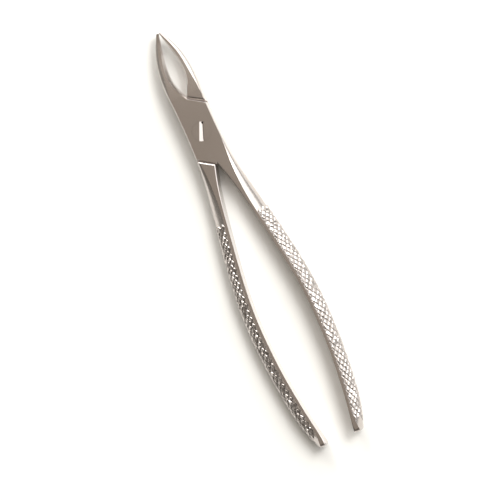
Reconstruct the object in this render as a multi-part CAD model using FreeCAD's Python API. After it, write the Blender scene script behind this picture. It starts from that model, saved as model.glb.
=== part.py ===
import FreeCAD, Part
import math
import os

# Straight extraction forceps with a half-lap joint, lying on z = 0.
# The pivot axis is the Z axis, +Y points to the beak tips, -Y to the handle ends.
# Each half crosses over at the joint: the front half has the left beak and the right handle.

# ---- driving dimensions, in millimetres ----
THICKNESS = 9.6                  # through the joint and the handles
MID = THICKNESS / 2
TIP_Y = 42.2
END_Y = -132.8

# Distance from the centre line along each half, as (y, distance).
BEAK_OUTER = [(42.2, 0.95), (38.4, 3.1), (33.0, 5.2), (27.2, 6.3), (20.5, 6.8), (13.2, 6.5),
              (0.0, 6.4), (-14.5, 6.85)]
BEAK_INNER = [(42.2, 0.08), (38.4, 0.85), (33.0, 2.2), (28.0, 2.95), (23.5, 3.1), (18.8, 2.2),
              (16.0, 0.95), (14.2, 0.08), (10.5, -2.2), (6.0, -3.2), (-9.0, -3.2), (-14.5, -0.1)]
HANDLE_OUTER = [(14.5, 6.4), (0.0, 6.4), (-9.4, 6.7), (-18.2, 7.6), (-32.8, 10.2), (-49.6, 13.25),
                (-64.2, 15.35), (-75.4, 16.2), (-86.6, 16.25), (-101.2, 15.5), (-119.7, 13.25),
                (-132.8, 9.7)]
HANDLE_INNER = [(14.5, -3.2), (-3.0, -2.4), (-9.0, -0.9), (-14.0, 0.5), (-21.0, 2.6), (-27.2, 4.0),
                (-32.8, 5.1), (-49.6, 7.85), (-64.2, 9.85), (-75.4, 10.75), (-86.6, 10.85),
                (-101.2, 10.2), (-119.7, 8.1), (-132.8, 5.8)]

# Half-lap steps: the plate edge runs from the centre line out to the side.
STEP_TOP = (14.0, 9.55)          # y at the centre line, y at the plate's side
STEP_BOTTOM = (-14.0, -9.45)
STEP_X = 6.6
SHOULDER_GAP_IN = 0.3            # gap to the other half's shoulder at the centre line
SHOULDER_GAP_OUT = 0.6           # the same gap at the side
LAP_GAP = 0.06                   # between the two plates
PLATE_BEVEL = 0.3
BEAK_SHOULDER_BEVEL = (0.9, 0.7)     # width and depth
HANDLE_SHOULDER_BEVEL = (0.5, 0.4)

# Edges
ROUND_WIDTH = 0.5                # rounded outer edge of the joint, seen from above
ROUND_DEPTH = 1.2
CROTCH_BEVEL = 0.5               # along the inside of the handles, next to the joint
INNER_BEVEL = 0.15               # and from here down
INNER_BEVEL_START = -45.0
BEVEL_FALL = 0.55                # slope of these bevels, height over width
FLAT_STRIP = 0.8                 # flat strip left along the top of the grip
GRIP_BLEND = -4.0                # the handle's outside starts to round from here down
GRIP_START = -34.0               # and is fully rounded from here
GRIP_END = -127.5                # the cut grip stops here
GRIP_WALL = 0.5                  # half the height of the upright strip left round the grip
TOOTH_DEPTH = 0.3                # the rounded outside is the root of the grip's cut teeth
TOOTH_RUN = 5.0                  # length over which the surface steps in to the tooth roots
END_ROUND = 1.8                  # length of the rounded handle end
END_SHARE = 0.6                  # width of the last section, as a share of the handle's
END_HEIGHT_SHARE = 0.6           # and its height
END_BEVEL = 0.7                  # the inside bevel widens to this at the handle end
END_FLAT = 1.9                   # and the flat strip to this
END_RUN = 7.0                    # length over which they change
TIP_HALF_HEIGHT = 1.7            # half the height of the beak at its tip
TAPER_START = 14.0               # the beaks get lower from here to the tip
BEAK_BEVEL = 0.4                 # along the inside of the beaks, near the joint
BEAK_FLAT_END = 16.0             # the beak's flat faces start to narrow here
BEAK_RIDGE_START = 25.0          # and are a narrow ridge from here to the tip
RIDGE_IN = 0.25                  # shares of the beak's width: the slope on the inside of the ridge
RIDGE_OUT = 0.40                 # and the facet on its outside
FACET_FALL = 0.7                 # slope of that outside facet, height over width
BEAK_LIP = 0.3                   # share of the half height left upright along the inside
# How the outside leaves the flat face: 0 for a square shoulder, 1 for a straight slope.
JOINT_CROWN = 0.15
RIDGE_CROWN = 0.8
GRIP_CROWN = 0.5

# Pivot screw
SHANK_R = 2.5
RUNNING_CLEARANCE = 0.04
HEAD_R = 3.85
HEAD_DEPTH = 1.9
SLOT_WIDTH_TOP = 1.5             # the slot is worn wider at its lower end
SLOT_WIDTH_LOW = 2.0
SLOT_DEPTH = 0.8
SLOT_FALL = 0.3                  # the worn slot floor falls towards its right side
STAKE_R = 0.45                   # punched mark at the slot's upper end that locks the screw
STAKE_DEPTH = 1.6
STAKE_ACROSS = 0.35
STAKE_ALONG = 3.45
SLOT_TURN = -22.5                # from +Y, clockwise seen from the screw's head
HEAD_BREAK = 0.04                # bevel round the head

# Sections are taken every STATION_STEP along each half, and closer at the rounded handle end.
STATION_STEP = 3.0
END_STATIONS = (0.66, 0.4, 0.18, 0.06, 0)    # as shares of END_ROUND
OVERLAP_Y = 14.5                 # beak and handle run on past the pivot to here and overlap

OVER = 0.06                      # what the lofts stand past the flat faces before they are cut
PAST = 1.0                       # what the cutting tools stand past the faces they cut
MERGE = 0.1                      # overlap of the screw's shank and head before they are fused
FAR = 60.0                       # reach of the cutting blocks, well past the joint


def smooth(y, start, end):
    """0 before start, 1 after end, with no kink."""
    t = min(1.0, max(0.0, (y - start) / (end - start)))
    return t * t * (3 - 2 * t)


def mix(a, b, t):
    return a + (b - a) * t


def along(points, y):
    """Smooth curve through (y, value) points, given from high y to low y."""
    ys = [p[0] for p in points]
    vs = [p[1] for p in points]
    last = len(points) - 1
    y = min(ys[0], max(ys[-1], y))
    i = max(k for k in range(last) if ys[k] >= y)

    def slope(k):
        low = max(0, k - 1)
        high = min(last, k + 1)
        return (vs[high] - vs[low]) / (ys[high] - ys[low])

    span = ys[i + 1] - ys[i]
    t = (y - ys[i]) / span
    return ((2 * t ** 3 - 3 * t ** 2 + 1) * vs[i] + (t ** 3 - 2 * t ** 2 + t) * span * slope(i)
            + (3 * t ** 2 - 2 * t ** 3) * vs[i + 1] + (t ** 3 - t ** 2) * span * slope(i + 1))


def section(side, y, inner, outer, half, flat_in, flat_out, lip, wall, break_):
    """Poles of the eight curves across a beak or handle at y, in order round the section.

    Upright inner face, bevel, flat top, rounded outside, then the same below."""
    def at(u, dz):
        return FreeCAD.Vector(side * u, y, MID + dz)

    crown = half - break_ * (half - wall)
    a, b = at(inner, -lip), at(inner, lip)
    c, d = at(flat_in, half), at(flat_out, half)
    e, f = at(outer, wall), at(outer, -wall)
    g, h = at(flat_out, -half), at(flat_in, -half)
    return [[a, b], [b, c], [c, d], [d, at(outer, crown), e],
            [e, f], [f, at(outer, -crown), g], [g, h], [h, a]]


def beak_section(y):
    """The left beak: full and flat at the joint, a faceted ridge towards the tip."""
    inner = along(BEAK_INNER, y)
    outer = along(BEAK_OUTER, y)
    width = outer - inner
    ridge = smooth(y, BEAK_FLAT_END, BEAK_RIDGE_START)
    half = mix(MID + OVER, TIP_HALF_HEIGHT, smooth(y, TAPER_START, TIP_Y))
    facet = mix(ROUND_WIDTH, RIDGE_OUT * width, ridge)
    flat_in = inner + mix(BEAK_BEVEL, RIDGE_IN * width, ridge)
    flat_out = outer - facet
    lip = mix(half - BEAK_BEVEL, BEAK_LIP * half, ridge)
    wall = half - mix(ROUND_DEPTH, FACET_FALL * facet, ridge)
    return section(-1, y, inner, outer, half, flat_in, flat_out, lip, wall,
                   mix(JOINT_CROWN, RIDGE_CROWN, ridge))


def handle_section(y):
    """The right handle: rounded edges at the joint, a D-shaped grip below, a rounded end."""
    inner = along(HANDLE_INNER, y)
    outer = along(HANDLE_OUTER, y)
    grip = smooth(-y, -GRIP_BLEND, -GRIP_START)
    outer -= TOOTH_DEPTH * (smooth(-y, -GRIP_START, TOOTH_RUN - GRIP_START)
                            - smooth(-y, -GRIP_END, TOOTH_RUN - GRIP_END))
    left = y - END_Y
    end = 0.0
    if left < END_ROUND:
        end = 1 - math.sqrt(1 - (1 - left / END_ROUND) ** 2)
    middle = (inner + outer) / 2
    half_width = (outer - inner) / 2 * mix(1, END_SHARE, end)
    inner = middle - half_width
    outer = middle + half_width
    half = (MID + OVER) * mix(1, END_HEIGHT_SHARE, end)
    bevel = mix(CROTCH_BEVEL, INNER_BEVEL, smooth(-y, -STEP_BOTTOM[0], -INNER_BEVEL_START))
    near_end = 1 - smooth(left, 0, END_RUN)
    bevel = mix(bevel, END_BEVEL, near_end) * mix(1, END_SHARE, end)
    flat_in = inner + bevel
    flat = mix(FLAT_STRIP, END_FLAT, near_end) * mix(1, END_SHARE, end)
    flat_out = mix(outer - ROUND_WIDTH, flat_in + flat, grip)
    lip = half - BEVEL_FALL * bevel
    wall = mix(MID - ROUND_DEPTH, GRIP_WALL, grip) * mix(1, END_HEIGHT_SHARE, end)
    return section(1, y, inner, outer, half, flat_in, flat_out, lip, wall,
                   mix(JOINT_CROWN, GRIP_CROWN, grip))


def loft(make_section, stations):
    """A solid whose sections are the control sections of smooth cubic surfaces along Y."""
    sections = [make_section(y) for y in stations]
    count = len(stations)
    knots = list(range(count - 2))
    mults = [4] + [1] * (count - 4) + [4]
    faces = []
    for side in range(len(sections[0])):
        across = len(sections[0][side])
        poles = [[poly[side][i] for poly in sections] for i in range(across)]
        surface = Part.BSplineSurface()
        surface.buildFromPolesMultsKnots(poles, [across, across], mults, [0, 1], knots,
                                         False, False, across - 1, 3)
        faces.append(surface.toShape())
    for poly in (sections[0], sections[-1]):
        faces.append(Part.Face(Part.Wire([bezier(poles) for poles in poly])))
    shell = Part.makeShell(faces)
    shell.sewShape()
    solid = Part.makeSolid(Part.makeShell(shell.Faces))
    if solid.Volume < 0:
        solid.reverse()
    return solid


def bezier(poles):
    curve = Part.BezierCurve()
    curve.setPoles(poles)
    return curve.toShape()


def stations(start, end):
    count = round((start - end) / STATION_STEP)
    return [mix(start, end, i / count) for i in range(count + 1)]


def side_of_line(start, end, z_from, z_to, bevel_width, bevel_depth):
    """A block over everything on the left of the line from start to end, with a bevel-cutting flare.

    The flare is at whichever of z_from and z_to is an outside face, z = 0 or z = THICKNESS."""
    run = FreeCAD.Vector(end[0] - start[0], end[1] - start[1], 0)
    run.normalize()
    normal = FreeCAD.Vector(-run.y, run.x, 0)
    base = FreeCAD.Vector(start[0], start[1], 0) - run * FAR
    if z_to > THICKNESS:
        profile = [(0, z_from), (0, THICKNESS - bevel_depth), (-bevel_width, THICKNESS),
                   (-bevel_width, z_to), (FAR, z_to), (FAR, z_from)]
    else:
        profile = [(0, z_to), (0, bevel_depth), (-bevel_width, 0),
                   (-bevel_width, z_from), (FAR, z_from), (FAR, z_to)]
    points = [base + normal * n + FreeCAD.Vector(0, 0, z) for n, z in profile]
    face = Part.Face(Part.makePolygon(points + points[:1]))
    return face.extrude(run * 2 * FAR)


def half_blank():
    """The front half before its pivot hole: left beak, upper plate and right handle."""
    beak = loft(beak_section, stations(TIP_Y, -OVERLAP_Y))
    end = [END_Y + END_ROUND * share for share in END_STATIONS]
    handle = loft(handle_section, stations(OVERLAP_Y, END_Y + END_ROUND) + end)
    slab = Part.makeBox(2 * FAR, 4 * FAR, THICKNESS, FreeCAD.Vector(-FAR, -3 * FAR, 0))
    beak = beak.common(slab)
    handle = handle.common(slab)

    # This half's own plate edges, with a small bevel on the face.
    top_in, top_out = STEP_TOP
    bottom_in, bottom_out = STEP_BOTTOM
    over = THICKNESS + OVER
    handle = handle.cut(side_of_line((0, top_in), (STEP_X, top_out), -OVER, over,
                                     PLATE_BEVEL, PLATE_BEVEL))
    beak = beak.cut(side_of_line((0, bottom_in), (-STEP_X, bottom_out), -OVER, over,
                                 PLATE_BEVEL, PLATE_BEVEL))
    # Room in the lower layer for the other half's plate, which is the mirror image of this one.
    lap = MID + LAP_GAP / 2
    beak = beak.cut(side_of_line((0, top_in + SHOULDER_GAP_IN), (-STEP_X, top_out + SHOULDER_GAP_OUT),
                                 -OVER, lap, *BEAK_SHOULDER_BEVEL))
    handle = handle.cut(side_of_line((0, bottom_in - SHOULDER_GAP_IN),
                                     (STEP_X, bottom_out - SHOULDER_GAP_OUT),
                                     -OVER, lap, *HANDLE_SHOULDER_BEVEL))
    return beak.fuse(handle).removeSplitter()


def cylinder(radius, z_from, z_to):
    return Part.makeCylinder(radius, z_to - z_from, FreeCAD.Vector(0, 0, z_from))


def front_half(blank):
    """Turns on the screw: a clearance bore, and a counterbore for the screw's head."""
    bore = cylinder(SHANK_R + RUNNING_CLEARANCE, MID - PAST, THICKNESS + PAST)
    seat = cylinder(HEAD_R + RUNNING_CLEARANCE, THICKNESS - HEAD_DEPTH - RUNNING_CLEARANCE,
                    THICKNESS + PAST)
    return blank.cut(bore).cut(seat)


def rear_half(blank):
    """The same forging turned over, bored to hold the screw fast."""
    turned = blank.copy()
    turned.rotate(FreeCAD.Vector(0, 0, MID), FreeCAD.Vector(0, 1, 0), 180)
    return turned.cut(cylinder(SHANK_R, -PAST, MID + PAST))


def pivot_screw():
    """Flush cheese head with a driver slot; the end is riveted flush in the rear half."""
    shank = cylinder(SHANK_R, 0, THICKNESS - HEAD_DEPTH + MERGE)
    head = cylinder(HEAD_R, THICKNESS - HEAD_DEPTH, THICKNESS)
    rim = [edge for edge in head.Edges if edge.BoundBox.ZMin > THICKNESS - HEAD_DEPTH / 2]
    head = head.makeChamfer(HEAD_BREAK, rim)
    floor = THICKNESS - SLOT_DEPTH
    corners = [FreeCAD.Vector(x, y, floor - SLOT_FALL * x) for x, y in
               ((-SLOT_WIDTH_LOW / 2, -HEAD_R), (SLOT_WIDTH_LOW / 2, -HEAD_R),
                (SLOT_WIDTH_TOP / 2, HEAD_R), (-SLOT_WIDTH_TOP / 2, HEAD_R))]
    slot = Part.Face(Part.makePolygon(corners + corners[:1])).extrude(FreeCAD.Vector(0, 0, THICKNESS))
    stake = Part.makeCylinder(STAKE_R, STAKE_DEPTH + PAST,
                              FreeCAD.Vector(STAKE_ACROSS, STAKE_ALONG, THICKNESS - STAKE_DEPTH))
    for cutter in (slot, stake):
        cutter.rotate(FreeCAD.Vector(0, 0, 0), FreeCAD.Vector(0, 0, 1), SLOT_TURN)
    return shank.fuse(head).removeSplitter().cut(slot).cut(stake)


def main():
    os.makedirs("parts", exist_ok=True)
    blank = half_blank()
    pieces = {"front_half": front_half(blank), "rear_half": rear_half(blank),
              "pivot_screw": pivot_screw()}
    for name, shape in pieces.items():
        if len(shape.Solids) != 1 or not shape.isValid():
            raise ValueError(name + " isn't one valid solid")
        shape.Solids[0].exportStep("parts/" + name + ".step")


main()
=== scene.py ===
import math

import bpy
import numpy as np
from bpy.props import FloatProperty, FloatVectorProperty, IntProperty, PointerProperty
from bpy.types import Operator, Panel, PropertyGroup
from mathutils import Matrix, Vector
from mathutils.bvhtree import BVHTree


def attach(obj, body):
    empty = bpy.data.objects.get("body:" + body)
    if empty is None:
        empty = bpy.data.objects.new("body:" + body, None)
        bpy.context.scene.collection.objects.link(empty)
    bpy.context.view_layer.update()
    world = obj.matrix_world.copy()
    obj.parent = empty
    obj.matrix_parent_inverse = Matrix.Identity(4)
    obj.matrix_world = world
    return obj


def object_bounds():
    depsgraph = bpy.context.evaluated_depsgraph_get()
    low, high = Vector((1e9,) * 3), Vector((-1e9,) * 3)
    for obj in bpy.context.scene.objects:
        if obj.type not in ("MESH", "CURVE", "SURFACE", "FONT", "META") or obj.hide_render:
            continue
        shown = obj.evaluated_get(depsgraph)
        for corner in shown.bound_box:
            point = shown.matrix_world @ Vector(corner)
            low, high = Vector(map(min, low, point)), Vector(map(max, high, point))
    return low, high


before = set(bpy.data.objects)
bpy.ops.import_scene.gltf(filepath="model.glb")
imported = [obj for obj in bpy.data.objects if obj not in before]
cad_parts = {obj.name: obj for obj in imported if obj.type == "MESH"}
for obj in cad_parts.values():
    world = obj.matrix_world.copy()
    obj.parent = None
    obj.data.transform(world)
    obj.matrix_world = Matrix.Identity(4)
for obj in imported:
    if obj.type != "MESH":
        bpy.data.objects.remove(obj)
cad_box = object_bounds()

bl_info = {
    "name": "Extraction forceps",
    "version": (1, 0, 0),
    "blender": (4, 5, 0),
    "location": "3D View > Sidebar > Forceps",
    "description": "Satin steel, cut grip teeth, screw and studio for straight extraction forceps",
    "category": "Object",
}

MM = 0.001

# ---- places from the bounds of the parts in model.glb, in metres ----
LOW, HIGH = (Vector(corner) for corner in cad_box)
THICKNESS = HIGH.z - LOW.z
MID_Z = (HIGH.z + LOW.z) / 2
TIP_Y = HIGH.y
END_Y = LOW.y
HALVES = {"front_half": ("front", 1), "rear_half": ("rear", -1)}      # body, side of its handle
FLAT_MIDDLE = 0.55 * MM          # from a handle's inside to the middle of its flat strip
PAINTED_SHADE_TOP = HIGH.z - 1.25 * MM    # painted shade in the screw's punched mark reaches up to here
PAINTED_SHADE_EDGE = 0.05 * MM            # half the height over which the painted shade fades out

# ---- grip details ----
RAYS_ROUND = 121                 # rays that find a handle's outside at each row
SUNK = 0.03 * MM                 # how far the skin lies under the steel where there are no teeth
BURIED_END = 0.5 * MM            # length at each end of the skin that stays under the steel
FLAT_TOLERANCE = 0.004 * MM      # points this near the upper or lower face count as on it
BLUNT = 0.09                     # softness of the edges between a tooth's sides and its top
TALLEST = 1.15                   # tallest tooth, as a share of the tooth height
TOOTH_KINDS = 211                # teeth before their small differences repeat
MOST_UNEVEN = 1.8                # limit of the small differences, in standard deviations
PLAIN_DEPTH = 0.3                # depth value of plain steel, between a tip (0) and a root (1)


# ---- settings a user would change ----
class SteelSettings(PropertyGroup):
    colour: FloatVectorProperty(name="Steel colour", description="Base colour of the ground steel",
                                subtype="COLOR", size=3, min=0, max=1, default=(0.61, 0.565, 0.54))
    roughness: FloatProperty(name="Roughness", description="Mean roughness of the satin faces",
                             subtype="FACTOR", min=0, max=1, default=0.22)
    streak_length: FloatProperty(name="Streak length", description="Length of the fine grinding lines",
                                 unit="LENGTH", default=9 * MM)
    streak_width: FloatProperty(name="Streak width", description="Width of the fine grinding lines",
                                unit="LENGTH", default=0.16 * MM)
    cloud_size: FloatProperty(name="Cloud size", description="Size of the soft patches in the finish",
                              unit="LENGTH", default=16 * MM)


class GripSettings(PropertyGroup):
    start: FloatProperty(name="Grip start", description="Distance of the first teeth from the pivot",
                         unit="LENGTH", default=35 * MM)
    end: FloatProperty(name="Grip end", description="Distance of the last teeth from the handle end",
                       unit="LENGTH", default=2.4 * MM)
    step_in: FloatProperty(name="Step in", description="Plain length before the first teeth",
                           unit="LENGTH", default=2.5 * MM)
    tooth_length: FloatProperty(name="Tooth length", description="Diamond length along the handle",
                                unit="LENGTH", default=2.9 * MM)
    tooth_width: FloatProperty(name="Tooth width", description="Diamond width round the handle",
                               unit="LENGTH", default=2.2 * MM)
    tooth_height: FloatProperty(name="Tooth height", description="Height of the teeth over their roots",
                                unit="LENGTH", default=0.45 * MM)
    tilt: FloatProperty(name="Tilt", description="Unevenness of the tooth tops", min=0, default=0.8)
    grid: FloatProperty(name="Mesh step", description="Distance between the mesh points of the teeth",
                        unit="LENGTH", default=0.13 * MM)
    seed: IntProperty(name="Seed", description="Seed of the small differences between teeth", default=11)


class StageSettings(PropertyGroup):
    key_power: FloatProperty(name="Key light", description="Power of the soft key light",
                             unit="POWER", default=3.8)
    front_power: FloatProperty(name="Front light", description="Power of the soft light from the tip end",
                               unit="POWER", default=2.4)
    fill: FloatProperty(name="Fill", description="Strength of the light from all round",
                        min=0, default=1.0)
    floor_colour: FloatVectorProperty(name="Floor colour", description="Colour of the plain floor",
                                      subtype="COLOR", size=3, min=0, max=1, default=(0.88, 0.88, 0.86))


SETTINGS = {"forceps_steel": SteelSettings, "forceps_grip": GripSettings, "forceps_stage": StageSettings}


# ---- shader maths ----
class Sock:
    """An output socket whose operators add Math nodes to its tree."""

    def __init__(self, tree, socket):
        self.tree = tree
        self.socket = socket

    def math(self, operation, *values, clamp=False):
        """One Math node on these values."""
        return self.tree.node("ShaderNodeMath", {"operation": operation, "use_clamp": clamp},
                              dict(enumerate(values)))

    def __add__(self, other):
        return self.math("ADD", self, other)

    __radd__ = __add__

    def __mul__(self, other):
        return self.math("MULTIPLY", self, other)

    __rmul__ = __mul__

    def __sub__(self, other):
        return self.math("SUBTRACT", self, other)

    def __rsub__(self, other):
        return self.math("SUBTRACT", other, self)

    def clamp(self):
        return self.math("ADD", self, 0.0, clamp=True)

    def step(self, start, end):
        """0 before start and 1 after end, with a soft change between."""
        return self.tree.node("ShaderNodeMapRange", {"interpolation_type": "SMOOTHSTEP"},
                              {"Value": self, "From Min": start, "From Max": end})


class Tree:
    """Builds a material's or world's nodes."""

    def __init__(self, owner):
        owner.use_nodes = True
        self.tree = owner.node_tree
        self.tree.nodes.clear()

    def node(self, kind, settings=None, inputs=None, output=0):
        """Adds a node: its settings first, then the values or links of its sockets."""
        node = self.tree.nodes.new(kind)
        for name, value in (settings or {}).items():
            if name == "stops":
                self.ramp(node.color_ramp, value)
            else:
                setattr(node, name, value)
        for name, value in (inputs or {}).items():
            if isinstance(value, Sock):
                self.tree.links.new(value.socket, node.inputs[name])
            else:
                node.inputs[name].default_value = value
        return Sock(self, node.outputs[output]) if len(node.outputs) else None

    def math(self, operation, *values):
        return self.node("ShaderNodeMath", {"operation": operation}, dict(enumerate(values)))

    def ramp(self, ramp, stops):
        while len(ramp.elements) < len(stops):
            ramp.elements.new(0.5)
        for element, (place, colour) in zip(ramp.elements, stops):
            element.position = place
            element.color = (*colour, 1)

    def place(self):
        """Position on the piece, in metres; it moves with the piece."""
        return self.node("ShaderNodeTexCoord", output=3)

    def scaled(self, vector, scale):
        return self.node("ShaderNodeVectorMath", {"operation": "MULTIPLY"}, {0: vector, 1: scale})

    def noise(self, vector, scale, detail=3.0, roughness=0.55):
        return self.node("ShaderNodeTexNoise", None,
                         {"Vector": self.scaled(vector, scale), "Scale": 1.0, "Detail": detail,
                          "Roughness": roughness})

    def mix(self, factor, a, b):
        """Mixes two colours."""
        node = self.tree.nodes.new("ShaderNodeMix")
        node.data_type = "RGBA"
        for index, value in ((0, factor), (6, a), (7, b)):
            if isinstance(value, Sock):
                self.tree.links.new(value.socket, node.inputs[index])
            elif index == 0:
                node.inputs[index].default_value = value
            else:
                node.inputs[index].default_value = (*value, 1)
        return Sock(self, node.outputs[2])

    def bump(self, height, distance):
        return self.node("ShaderNodeBump", None, {"Height": height, "Distance": distance, "Strength": 1.0})

    def surface(self, **inputs):
        """A Principled shader to the material's output."""
        names = {name.replace("_", " ").title(): value for name, value in inputs.items()}
        shader = self.node("ShaderNodeBsdfPrincipled", None, names)
        self.node("ShaderNodeOutputMaterial", None, {"Surface": shader})


def shade(colour, factor):
    return tuple(channel * factor for channel in colour)


def satin_steel(name, settings, cut=False, painted_shade_height=None):
    """Ground and satin-blasted steel: fine lines along the tool, soft clouds, small marks.

    cut paints shade into the roots of the grip's teeth and a painted highlight onto their tips. The last
    argument is the height up to which painted shade darkens the upper half; the lower half stays unshaded."""
    material = bpy.data.materials.new(name)
    tree = Tree(material)
    place = tree.place()
    length = 1 / settings.streak_length
    width = 1 / settings.streak_width
    streaks = tree.noise(place, (width, length, width), 4.0, 0.6)
    grain = tree.noise(place, (9000, 9000, 9000), 2.0, 0.6)
    clouds = tree.noise(place, (1 / settings.cloud_size,) * 3, 3.0, 0.5)
    marks = tree.noise(place, (420, 260, 420), 5.0, 0.65).step(0.60, 0.72)

    lines = (streaks - 0.5) * 0.16 + (clouds - 0.5) * 0.28
    dark = shade(settings.colour, 0.86)
    light = tuple(min(1.0, channel * 1.13) for channel in settings.colour)
    colour = tree.mix((lines + 0.5).clamp(), dark, light)
    colour = tree.mix(marks * 0.10, colour, shade(settings.colour, 0.72))
    roughness = settings.roughness + (streaks - 0.5) * 0.10 + (clouds - 0.5) * 0.10 + marks * 0.05
    height = streaks * 0.5 + grain * 0.5
    distance = 0.006 * MM
    if cut:
        depth = tree.node("ShaderNodeAttribute", {"attribute_name": "depth"}, output=2)
        # Painted shade in the roots of the teeth and painted highlight on their tips, both found from the
        # depth of each point.
        roots = depth.step(0.5, 1.0)
        tips = 1 - depth.step(0.0, 0.22)
        # painted shade: the roots are darkened to 0.22 of the steel colour
        colour = tree.mix(roots * 0.8, colour, shade(settings.colour, 0.22))
        # painted highlight: the tips are lightened towards pale grey
        colour = tree.mix(tips * 0.25, colour, (0.80, 0.775, 0.75))
        roughness = roughness + 0.06 - tips * 0.04 + roots * 0.18
    # Painted shade: the screw's upper half below the given height turns near black, which darkens the bottom
    # of the punched mark.
    if painted_shade_height is not None:
        high = tree.node("ShaderNodeSeparateXYZ", None, {0: place}, output=2)
        upper_half = high.step(MID_Z - PAINTED_SHADE_EDGE, MID_Z + PAINTED_SHADE_EDGE)
        painted_shade_mask = upper_half - high.step(painted_shade_height - PAINTED_SHADE_EDGE, painted_shade_height + PAINTED_SHADE_EDGE)
        colour = tree.mix(painted_shade_mask, colour, (0.05, 0.042, 0.036))
        roughness = roughness + painted_shade_mask * 0.4
    normal = tree.bump(height, distance)
    tree.surface(base_color=colour, metallic=1.0, roughness=roughness.clamp(), normal=normal)
    return material


# ---- grip teeth ----
def hit(tree, origin, direction):
    """Where a ray meets the mesh. A ray along an edge can slip between two faces, so it is nudged."""
    for nudge in (0, 1e-6, -1e-6, 5e-6, -5e-6, 2e-5, -2e-5):
        place = tree.ray_cast(origin + Vector((0, nudge, 0)), direction)[0]
        if place is not None:
            return place
    raise ValueError(f"no surface from {tuple(origin)} towards {tuple(direction)}")


def surface_rows(node, side, y_from, y_to, step):
    """Points on the outside of one handle: rows along the handle, each from the middle of the upper flat
    round the outside to the middle of the lower flat. Also each point's distance round from mid-height."""
    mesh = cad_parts[node].data
    tree = BVHTree.FromPolygons([v.co for v in mesh.vertices], [p.vertices for p in mesh.polygons])
    rows = max(2, round((y_from - y_to) / step))
    across = Vector((side, 0, 0))
    angles = np.radians(np.linspace(90, -90, RAYS_ROUND))
    points = []
    arcs = []
    for y in np.linspace(y_from, y_to, rows + 1):
        inner = hit(tree, Vector((0, y, MID_Z)), across)
        origin = Vector((inner.x + side * FLAT_MIDDLE, y, MID_Z))
        ring = [hit(tree, origin, Vector((side * math.cos(a), 0, math.sin(a)))) for a in angles]
        ring = np.array([tuple(place) for place in ring])
        arc = np.concatenate(([0], np.cumsum(np.linalg.norm(np.diff(ring, axis=0), axis=1))))
        middle = np.interp(0, -(ring[:, 2] - MID_Z), arc)
        points.append(ring)
        arcs.append(arc - middle)
    columns = max(2, round((arcs[0][-1] - arcs[0][0]) / step))
    spread = np.linspace(0, 1, columns + 1)
    grid = np.empty((rows + 1, columns + 1, 3))
    turn = np.empty((rows + 1, columns + 1))
    for i, (ring, arc) in enumerate(zip(points, arcs)):
        turn[i] = arc[0] + spread * (arc[-1] - arc[0])
        for axis in range(3):
            grid[i, :, axis] = np.interp(turn[i], arc, ring[:, axis])
    return grid, turn


def grid_normals(grid, side):
    along = np.gradient(grid, axis=0)
    around = np.gradient(grid, axis=1)
    normals = np.cross(along, around) * side
    normals /= np.linalg.norm(normals, axis=2, keepdims=True)
    return normals


def tooth_relief(run, turn, settings, rng):
    """Height of the cut diamonds from 0 at a root to about 1 at a tip, and where each diamond's middle is.

    Each diamond's top has its own tilt, as the grooves between them wander and differ in depth."""
    wander = 0.10 * np.sin(run / (7.3 * MM)) + 0.08 * np.sin(turn / (2.9 * MM) + run / (11 * MM))
    a = run / settings.tooth_length + turn / settings.tooth_width + wander
    b = run / settings.tooth_length - turn / settings.tooth_width - wander * 0.8
    cell_a = np.floor(a).astype(int)
    cell_b = np.floor(b).astype(int)
    in_a = a - cell_a
    in_b = b - cell_b
    own = np.clip(rng.normal(0, 1, (4, TOOTH_KINDS, TOOTH_KINDS)), -MOST_UNEVEN, MOST_UNEVEN)
    own = own[:, cell_a % TOOTH_KINDS, cell_b % TOOTH_KINDS]
    flank = 0.45 + 0.08 * own[0]
    top = 0.85 + 0.12 * own[1] + settings.tilt * (own[2] * (in_a - 0.5) + own[3] * (in_b - 0.5))
    slope_a = (1 - np.abs(2 * in_a - 1)) / flank
    slope_b = (1 - np.abs(2 * in_b - 1)) / flank
    relief = -BLUNT * np.log(sum(np.exp(-part / BLUNT) for part in (slope_a, slope_b, top)))
    relief = np.clip(relief, 0, TALLEST)
    middle_run = (cell_a + cell_b + 1) / 2 * settings.tooth_length
    return relief, middle_run + own[1] * 0.5 * MM


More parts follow.
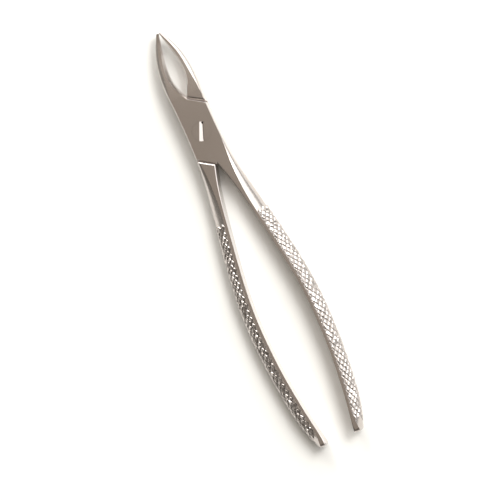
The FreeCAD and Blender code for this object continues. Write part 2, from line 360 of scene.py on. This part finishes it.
def grip_skin(name, node, side, settings):
    """A closed skin of cut diamond teeth over the outside of one handle.

    Where there are no teeth it lies just under the steel."""
    y_from = -settings.start
    y_to = END_Y + settings.end
    grid, turn = surface_rows(node, side, y_from, y_to, settings.grid)
    rows, columns = turn.shape
    normals = grid_normals(grid, side)
    middle = grid[:, columns // 2]
    run = np.concatenate(([0], np.cumsum(np.linalg.norm(np.diff(middle, axis=0), axis=1))))
    rng = np.random.default_rng(settings.seed + side)
    relief, cell_run = tooth_relief(run[:, None], turn, settings, rng)

    cut = (cell_run > settings.step_in) & (cell_run < run[-1] - settings.step_in)
    lift = np.where(cut, relief * settings.tooth_height + SUNK, -SUNK)
    edge = np.minimum(run, run[-1] - run)[:, None]
    lift = np.where(edge < BURIED_END, -SUNK, lift)
    shape = grid + normals * lift[:, :, None]
    on_flat = np.abs(grid[:, :, 2] - MID_Z) > THICKNESS / 2 - FLAT_TOLERANCE
    limit = np.where(on_flat, THICKNESS / 2 - SUNK, THICKNESS / 2)
    shape[:, :, 2] = MID_Z + np.clip(shape[:, :, 2] - MID_Z, -limit, limit)

    vertices = shape.reshape(-1, 3)
    index = np.arange(rows * columns).reshape(rows, columns)
    quads = np.stack((index[:-1, :-1], index[1:, :-1], index[1:, 1:], index[:-1, 1:]), axis=2).reshape(-1, 4)
    back = np.stack((index[:-1, 0], index[:-1, -1], index[1:, -1], index[1:, 0]), axis=1)
    faces = [tuple(q) for q in np.concatenate((quads, back)).tolist()]
    faces += [tuple(index[0].tolist()), tuple(index[-1, ::-1].tolist())]
    if side < 0:
        faces = [face[::-1] for face in faces]
    mesh = bpy.data.meshes.new(name)
    mesh.from_pydata(vertices.tolist(), [], faces)
    depth = mesh.attributes.new("depth", "FLOAT", "POINT")
    depth.data.foreach_set("value", np.where(cut, 1 - relief, PLAIN_DEPTH).ravel())
    mesh.polygons.foreach_set("use_smooth", [True] * (len(faces) - 2) + [False, False])
    mesh.validate()
    mesh.update()
    skin = bpy.data.objects.new(name, mesh)
    bpy.context.collection.objects.link(skin)
    return skin


# ---- stage ----
# Light from the left horizon (0) over the top (0.5) to the right horizon (1).
WINDOW = [(0.0, (0.50, 0.49, 0.46)), (0.07, (0.30, 0.29, 0.265)), (0.14, (0.17, 0.155, 0.135)),
          (0.41, (0.20, 0.175, 0.15)), (0.47, (0.42, 0.365, 0.31)), (0.56, (0.46, 0.41, 0.35)),
          (0.63, (1.7, 1.68, 1.64)), (0.86, (2.0, 1.98, 1.95)), (0.92, (0.50, 0.50, 0.49)),
          (1.0, (0.42, 0.42, 0.41))]


def add_area_light(name, target, direction, distance, size, power, colour):
    light = bpy.data.lights.new(name, "AREA")
    light.shape = "DISK"
    light.size = size
    light.energy = power
    light.color = colour
    obj = bpy.data.objects.new(name, light)
    direction = Vector(direction).normalized()
    obj.location = target + direction * distance
    obj.rotation_euler = direction.to_track_quat("Z", "Y").to_euler()
    bpy.context.collection.objects.link(obj)


def add_floor(colour):
    """A large plain floor just under the forceps."""
    mesh = bpy.data.meshes.new("floor")
    reach = 1.5
    mesh.from_pydata([(-reach, -reach, 0), (reach, -reach, 0), (reach, reach, 0), (-reach, reach, 0)],
                     [], [(0, 1, 2, 3)])
    floor = bpy.data.objects.new("floor", mesh)
    floor.location.z = LOW.z - 0.05 * MM
    bpy.context.collection.objects.link(floor)
    material = bpy.data.materials.new("floor_paper")
    tree = Tree(material)
    soft = tree.noise(tree.place(), (45, 45, 45), 4.0, 0.55)
    tree.surface(base_color=tree.mix(soft.step(0.35, 0.7) * 0.5, tuple(colour), shade(colour, 0.96)),
                 roughness=0.8)
    mesh.materials.append(material)


def light_world(strength):
    """A wide bright window on the right, dim and warm overhead, and pale walls low on the left."""
    world = bpy.data.worlds.new("studio")
    tree = Tree(world)
    direction = tree.node("ShaderNodeTexCoord", output=0)
    right, ahead, up = (tree.node("ShaderNodeSeparateXYZ", None, {0: direction}, output=axis)
                        for axis in range(3))
    round_axis = tree.math("ARCTAN2", right, up) * (1 / math.pi) + 0.5
    across = tree.node("ShaderNodeValToRGB", {"stops": WINDOW}, {"Fac": round_axis})
    ends = ahead.step(-0.75, 0.35) * 0.65 + ahead.step(0.45, 0.85) * 1.2 + 0.55
    background = tree.node("ShaderNodeBackground", None, {"Color": across, "Strength": ends * strength})
    tree.node("ShaderNodeOutputWorld", None, {"Surface": background})
    bpy.context.scene.world = world


def add_camera():
    """Nearly straight down, leaning to the right, with the tool's axis across the frame."""
    frame_width = 0.1962
    lens = 180
    sensor = 36
    distance = frame_width * lens / sensor
    lean = math.radians(6.8)
    twist = math.radians(24.49)
    target = Vector((-1.85 * MM, -50.26 * MM, HIGH.z))
    view = Vector((math.sin(lean), 0, math.cos(lean)))
    up = Vector((math.sin(twist), math.cos(twist), 0))
    up = (up - view * up.dot(view)).normalized()
    right = up.cross(view)
    camera = bpy.data.cameras.new("camera")
    camera.lens = lens
    camera.sensor_width = sensor
    obj = bpy.data.objects.new("camera", camera)
    obj.matrix_world = Matrix.Translation(target + view * distance) @ Matrix(
        (right, up, view)).transposed().to_4x4()
    bpy.context.collection.objects.link(obj)
    bpy.context.scene.camera = obj


# ---- operators ----
def finish_with(obj, material):
    obj.data.materials.clear()
    obj.data.materials.append(material)


class FORCEPS_OT_halves(Operator):
    """Give both forged halves their satin steel"""
    bl_idname = "forceps.halves"
    bl_label = "Finish the halves"

    def execute(self, context):
        steel = satin_steel("satin_steel", context.scene.forceps_steel)
        for node in HALVES:
            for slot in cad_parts[node].material_slots:
                slot.material = steel
        return {"FINISHED"}


class FORCEPS_OT_screw(Operator):
    """Give the pivot screw its finish, with painted shade at the bottom of the punched mark"""
    bl_idname = "forceps.screw"
    bl_label = "Finish the screw"

    def execute(self, context):
        steel = satin_steel("screw_steel", context.scene.forceps_steel, painted_shade_height=PAINTED_SHADE_TOP)
        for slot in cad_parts["pivot_screw"].material_slots:
            slot.material = steel
        return {"FINISHED"}


class FORCEPS_OT_grips(Operator):
    """Cut the diamond teeth on the outside of both handles"""
    bl_idname = "forceps.grips"
    bl_label = "Cut the grips"

    def execute(self, context):
        scene = context.scene
        steel = satin_steel("cut_steel", scene.forceps_steel, cut=True)
        for node, (body, side) in HALVES.items():
            name = "right_grip_teeth" if side > 0 else "left_grip_teeth"
            skin = grip_skin(name, node, side, scene.forceps_grip)
            finish_with(skin, steel)
            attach(skin, body)
        return {"FINISHED"}


class FORCEPS_OT_stage(Operator):
    """Set the floor, the lights and the camera"""
    bl_idname = "forceps.stage"
    bl_label = "Set the stage"

    def execute(self, context):
        settings = context.scene.forceps_stage
        target = Vector((0, (TIP_Y + END_Y) / 2, 0))
        light_world(settings.fill)
        add_floor(settings.floor_colour)
        add_area_light("key_light", target, (0.62, 0.22, 0.95), 0.9, 0.34, settings.key_power,
                       (1.0, 0.985, 0.96))
        add_area_light("front_light", target, (0.05, 1.0, 0.85), 0.9, 0.30, settings.front_power,
                       (1.0, 0.985, 0.96))
        add_camera()
        context.scene.view_settings.view_transform = "Standard"
        return {"FINISHED"}


class FORCEPS_PT_panel(Panel):
    """Lists the settings and the steps that build the forceps"""
    bl_idname = "FORCEPS_PT_panel"
    bl_label = "Extraction forceps"
    bl_space_type = "VIEW_3D"
    bl_region_type = "UI"
    bl_category = "Forceps"

    def draw(self, context):
        for group, kind in SETTINGS.items():
            box = self.layout.box()
            for name in kind.__annotations__:
                box.prop(getattr(context.scene, group), name)
        for operator in OPERATORS:
            self.layout.operator(operator.bl_idname)


OPERATORS = (FORCEPS_OT_stage, FORCEPS_OT_halves, FORCEPS_OT_screw, FORCEPS_OT_grips)
CLASSES = (*SETTINGS.values(), *OPERATORS, FORCEPS_PT_panel)


def register():
    for cls in CLASSES:
        bpy.utils.register_class(cls)
    for group, kind in SETTINGS.items():
        setattr(bpy.types.Scene, group, PointerProperty(type=kind))


def unregister():
    for group in SETTINGS:
        delattr(bpy.types.Scene, group)
    for cls in reversed(CLASSES):
        bpy.utils.unregister_class(cls)


def main():
    register()
    bpy.ops.forceps.stage()
    bpy.ops.forceps.halves()
    bpy.ops.forceps.screw()
    bpy.ops.forceps.grips()


if __name__ == "__main__":
    main()
